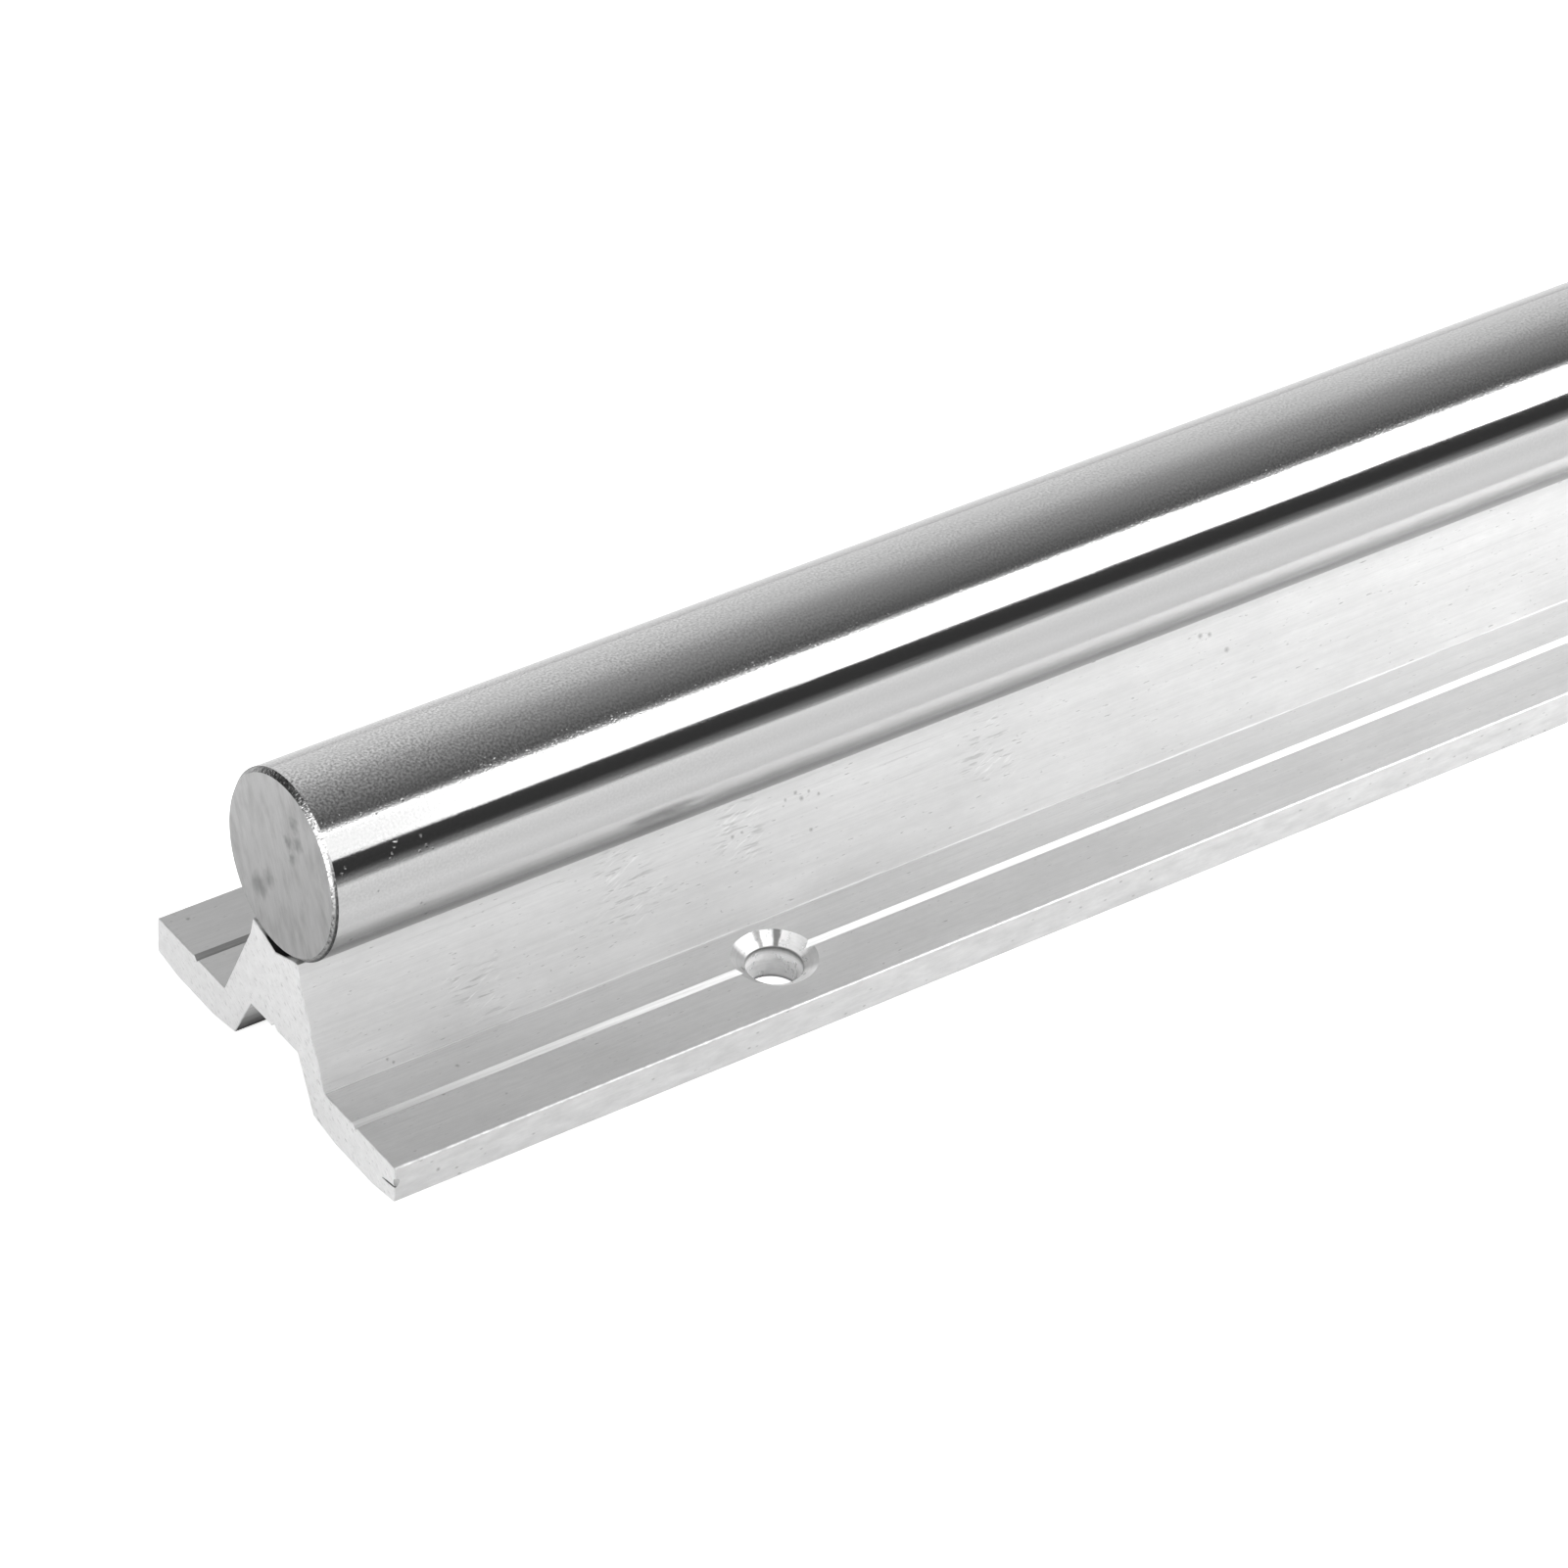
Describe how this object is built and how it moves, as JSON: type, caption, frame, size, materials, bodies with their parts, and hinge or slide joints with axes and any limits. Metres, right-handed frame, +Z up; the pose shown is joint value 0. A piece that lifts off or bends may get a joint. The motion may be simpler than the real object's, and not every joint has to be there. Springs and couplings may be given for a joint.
{
  "type": "supported round rail",
  "caption": "Round steel guide shaft screwed down onto a full-length aluminium support with a V seat and drilled side flanges, for an open linear bearing to slide along.",
  "frame": {"origin": "middle of the support's underside, half way along the rail", "axes": "+X along the rail, +Y across the flanges, +Z up from the mounting surface through the shaft"},
  "size_m": [0.4, 0.045, 0.037],
  "materials": {
    "support_aluminium": "bare extruded aluminium with lengthwise die lines, sawn ends",
    "shaft_chrome": "hard chrome plated, ground and polished, ends faced bare",
    "screw_steel": "plain zinc-plated steel"
  },
  "bodies": {
    "root": {"rail_support": "support_aluminium", "guide_shaft": "shaft_chrome", "shaft_screw_1": "screw_steel", "shaft_screw_2": "screw_steel", "shaft_screw_3": "screw_steel"}
  },
  "joints": []
}
